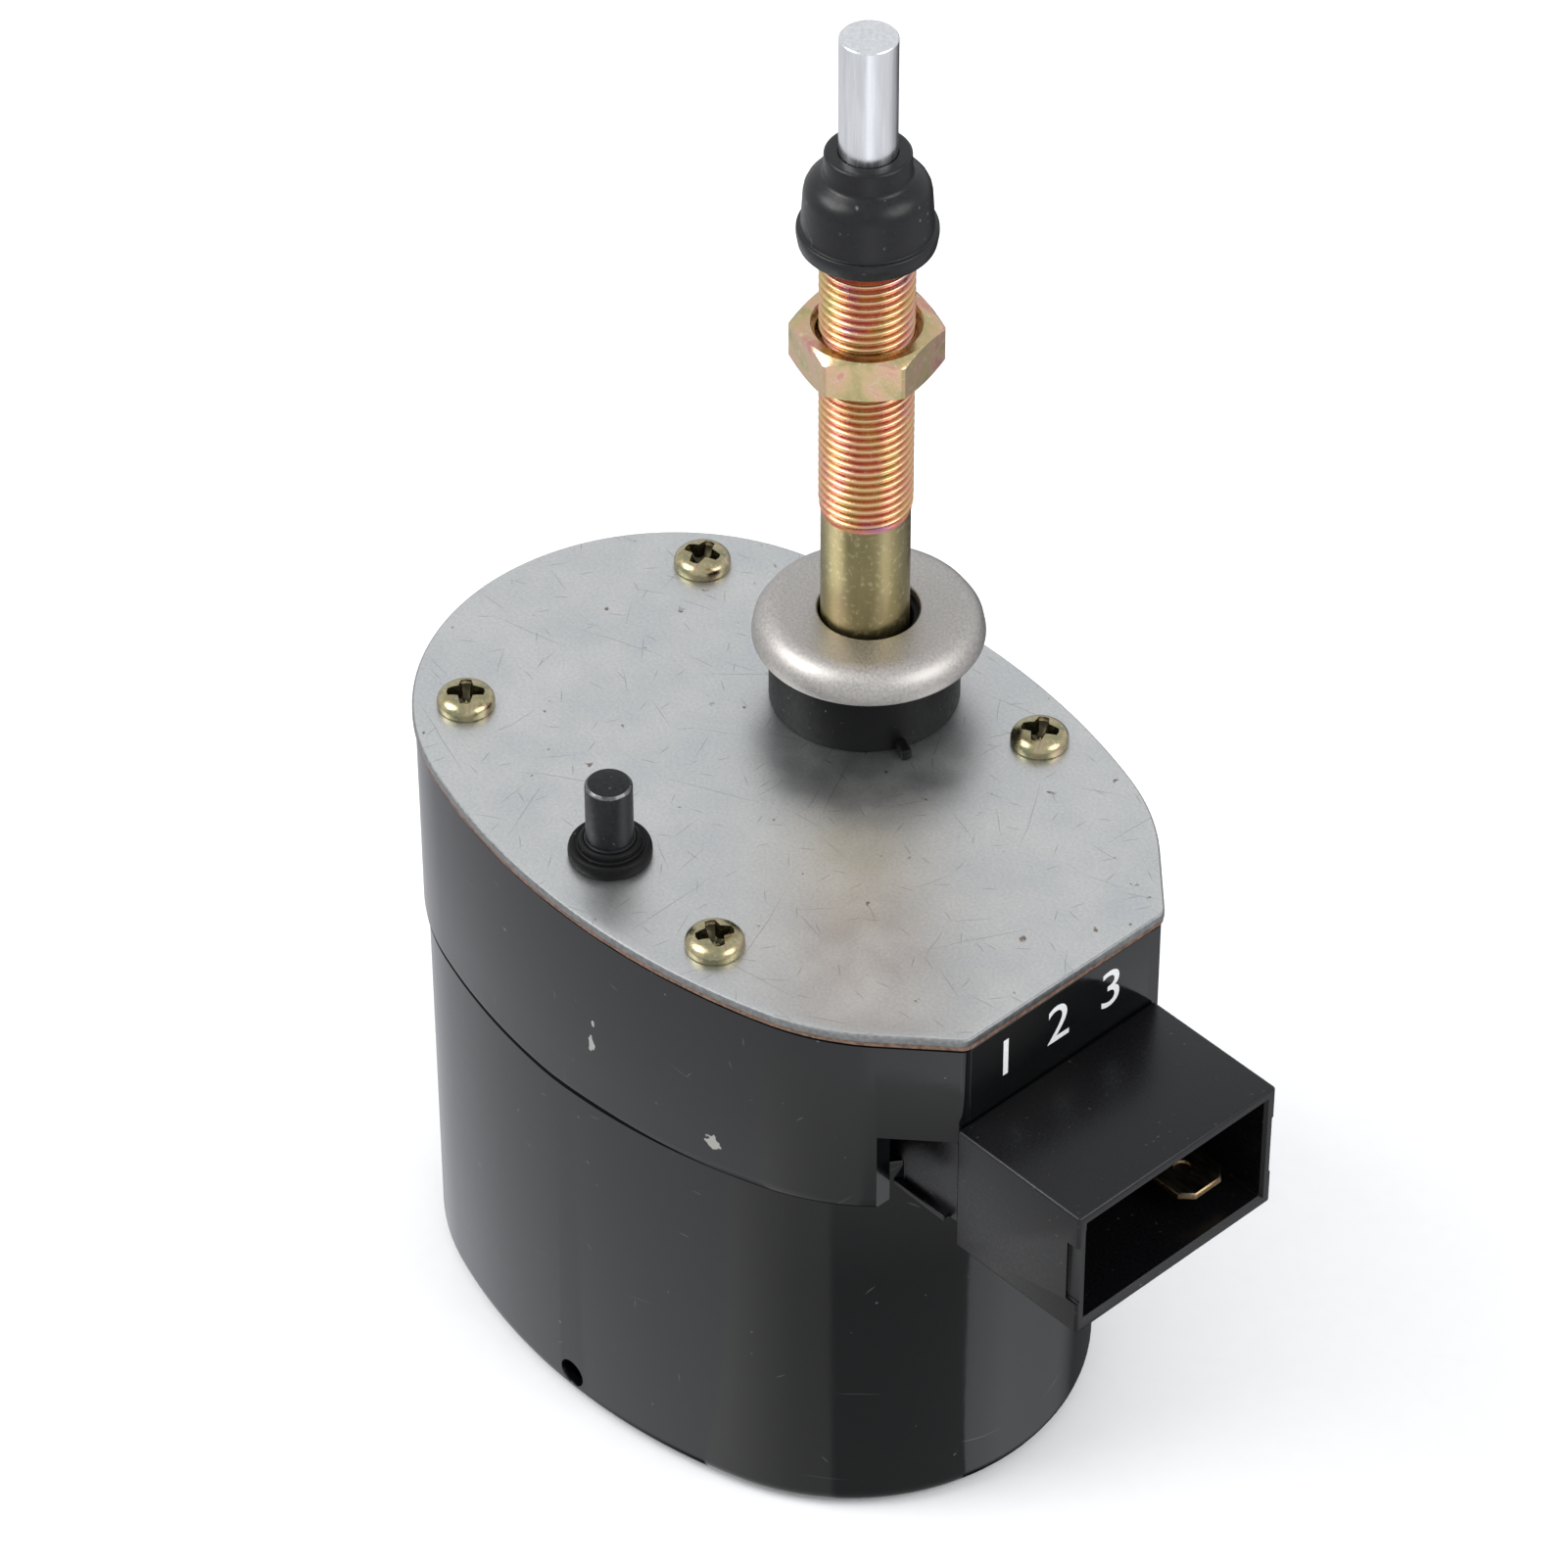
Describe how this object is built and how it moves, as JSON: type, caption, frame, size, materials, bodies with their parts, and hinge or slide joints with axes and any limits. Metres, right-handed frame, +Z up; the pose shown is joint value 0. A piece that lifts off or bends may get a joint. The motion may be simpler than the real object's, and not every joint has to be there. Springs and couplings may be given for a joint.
{
  "type": "wiper motor",
  "caption": "Wiper motor with a direct output shaft in a threaded sleeve, an oval gear case over a deep can, and a socket for a flat plug on one end.",
  "frame": {"origin": "on the output shaft's axis, at the cover plate's upper face", "axes": "+Z up along the output shaft, +X out of the connector's mouth, -Y towards the side with the locating pin"},
  "size_m": [0.1042, 0.0602, 0.159],
  "materials": {
    "zinc_plate": "zinc-plated sheet, satin with a soft sheen",
    "gasket_fibre": "brown fibre sheet, matte",
    "black_enamel": "gloss black enamel",
    "yellow_zinc": "yellow chromate over zinc, satin with a faint rainbow",
    "grey_zinc": "fine matte zinc",
    "bright_steel": "ground or turned steel",
    "black_rubber": "satin black rubber",
    "black_oxide": "blackened steel, worn bright at the edge",
    "black_plastic": "satin black moulded plastic",
    "brass_tab": "tarnished brass strip",
    "sintered_bronze": "oil-soaked sintered bronze",
    "white_acetal": "moulded acetal, satin",
    "brass_strip": "rolled brass strip",
    "brown_phenolic": "paper phenolic sheet",
    "yoke_steel": "drawn steel, zinc plated",
    "ferrite": "sintered ferrite, matte",
    "lamination_steel": "stacked steel laminations",
    "copper_wire": "enamelled copper wire",
    "copper_bar": "turned copper",
    "carbon": "pressed carbon, matte"
  },
  "bodies": {
    "housing": {"gear_case": "black_enamel", "motor_can": "black_enamel", "cover_plate": "zinc_plate", "cover_gasket": "gasket_fibre", "cover_screws": "yellow_zinc", "shaft_sleeve": "yellow_zinc", "upper_shaft_bush": "sintered_bronze", "lower_shaft_bush": "sintered_bronze", "seal_ring": "black_rubber", "locating_pin": "black_oxide", "pin_grommet": "black_rubber", "sleeve_boot": "black_rubber", "connector_housing": "black_plastic", "terminal_tabs": "brass_tab", "contact_carrier": "brown_phenolic", "park_contacts": "brass_strip", "drive_stud": "bright_steel", "idler_stud": "bright_steel", "motor_yoke": "yoke_steel", "motor_magnets": "ferrite", "motor_screws": "bright_steel", "brush_plate": "brown_phenolic", "carbon_brushes": "carbon", "brush_springs": "bright_steel", "upper_bearing": "sintered_bronze", "lower_bearing": "sintered_bronze"},
    "armature": {"armature_core": "lamination_steel", "armature_shaft": "bright_steel", "armature_winding": "copper_wire", "commutator": "copper_bar", "motor_pinion": "bright_steel"},
    "idler": {"idler_wheel": "white_acetal", "idler_pinion": "bright_steel"},
    "drive": {"drive_gear": "white_acetal", "crank_pin": "bright_steel", "park_ring": "brass_strip"},
    "rod": {"connecting_rod": "bright_steel"},
    "output": {"output_shaft": "bright_steel", "output_lever": "bright_steel", "lever_pin": "bright_steel", "thrust_washer": "bright_steel", "end_washer": "bright_steel", "retaining_clip": "bright_steel"},
    "nut": {"mounting_nut": "yellow_zinc"},
    "washer": {"cup_washer": "grey_zinc"}
  },
  "joints": [
    {"name": "armature_turn", "type": "hinge", "parent": "housing", "child": "armature", "pos_m": [-0.00537, -0.01403, -0.045], "axis": [0, 0, 1], "range_deg": [-3400, 3400]},
    {"name": "idler_turn", "type": "hinge", "parent": "housing", "child": "idler", "pos_m": [0.01449, -0.01984, -0.018], "axis": [0, 0, 1], "range_deg": [-510, 510]},
    {"name": "drive_turn", "type": "hinge", "parent": "housing", "child": "drive", "pos_m": [-0.00951, -0.01984, -0.016], "axis": [0, 0, 1], "range_deg": [-90, 90]},
    {"name": "rod_turn", "type": "hinge", "parent": "drive", "child": "rod", "pos_m": [-0.00358, -0.02511, -0.0118], "axis": [0, 0, 1], "range_deg": [-90, 90]},
    {"name": "output_swing", "type": "hinge", "parent": "housing", "child": "output", "pos_m": [0, 0, 0.03], "axis": [0, 0, 1], "range_deg": [-52.5, 52.5]},
    {"name": "nut_travel", "type": "slide", "parent": "housing", "child": "nut", "axis": [0, 0, 1], "range_m": [-0.0185, 0.0096]},
    {"name": "washer_lift", "type": "slide", "parent": "housing", "child": "washer", "axis": [0, 0, 1], "range_m": [0, 0.013]}
  ],
  "couplings": [
    {"joint": "idler_turn", "follows": "armature_turn", "ratio": -0.15},
    {"joint": "drive_turn", "follows": "armature_turn", "ratio": 0.026471},
    {"joint": "rod_turn", "follows": "armature_turn", "ratio": -0.026471},
    {"joint": "output_swing", "follows": "armature_turn", "ratio": 0.015441}
  ]
}
